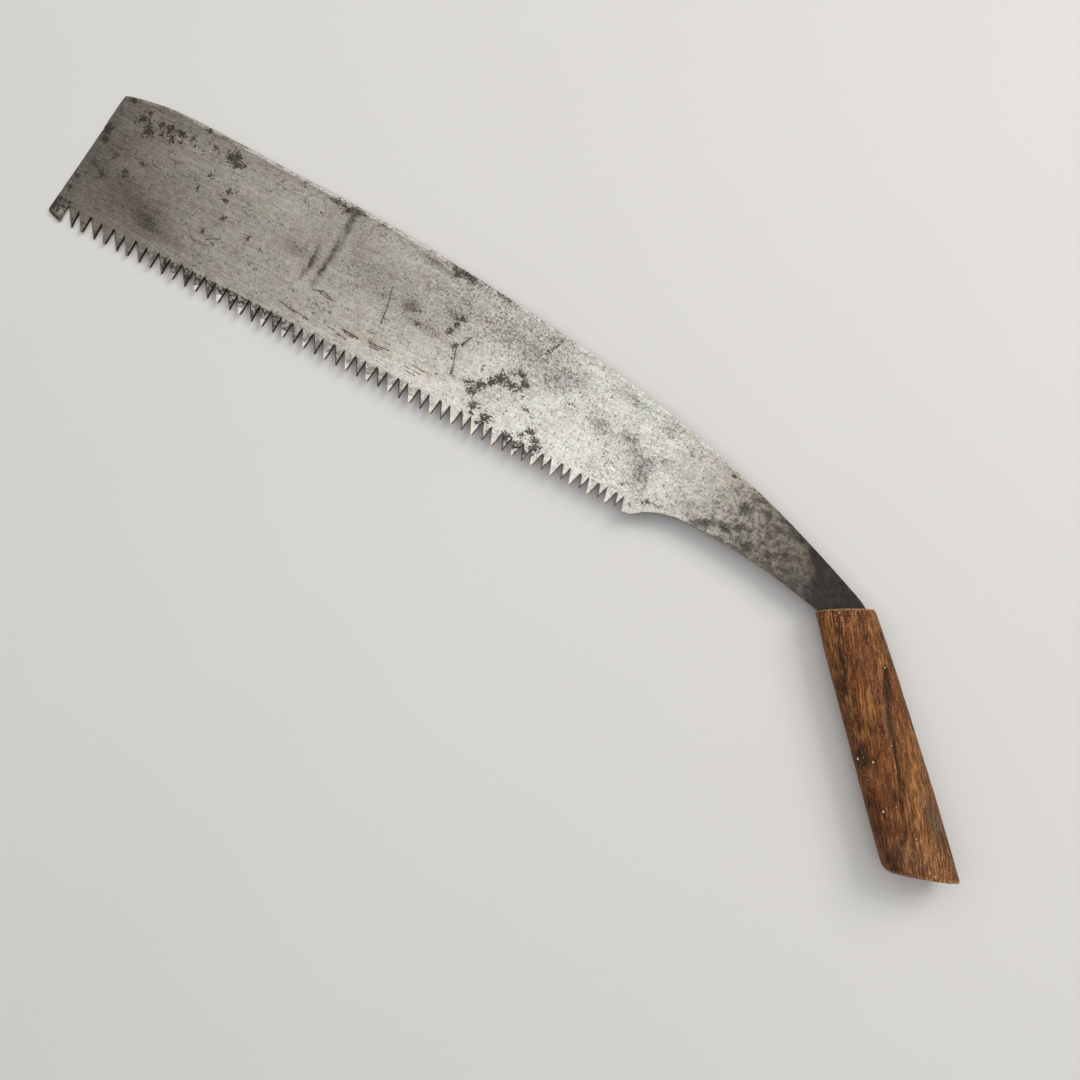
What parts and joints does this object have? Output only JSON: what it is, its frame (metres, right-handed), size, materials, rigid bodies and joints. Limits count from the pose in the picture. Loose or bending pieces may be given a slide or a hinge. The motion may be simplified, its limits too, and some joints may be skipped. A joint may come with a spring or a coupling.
{
  "type": "forestry pruning saw",
  "caption": "Fixed-blade pull saw for pruning and felling: broad curved-back blade with coarse pull teeth, forged tang in a bent, oval wooden handle.",
  "frame": {"origin": "centre of the whole saw's bounding box; the blade's mid-plane is the plane Z = 0", "axes": "+X along the toothed edge from the blade's far end towards the handle, +Y from the teeth towards the blade's back, +Z normal to the blade"},
  "size_m": [0.7866, 0.236, 0.0356],
  "materials": {
    "blade_steel": "forged carbon steel with grey patina, bright worn middle, black pitting and small rust spots; black forge scale on the neck",
    "handle_wood": "weathered brown open-grain hardwood, dry and unvarnished",
    "wedge_wood": "plain split hardwood"
  },
  "bodies": {
    "root": {"blade": "blade_steel", "handle": "handle_wood", "tang_wedge": "wedge_wood"}
  },
  "joints": []
}
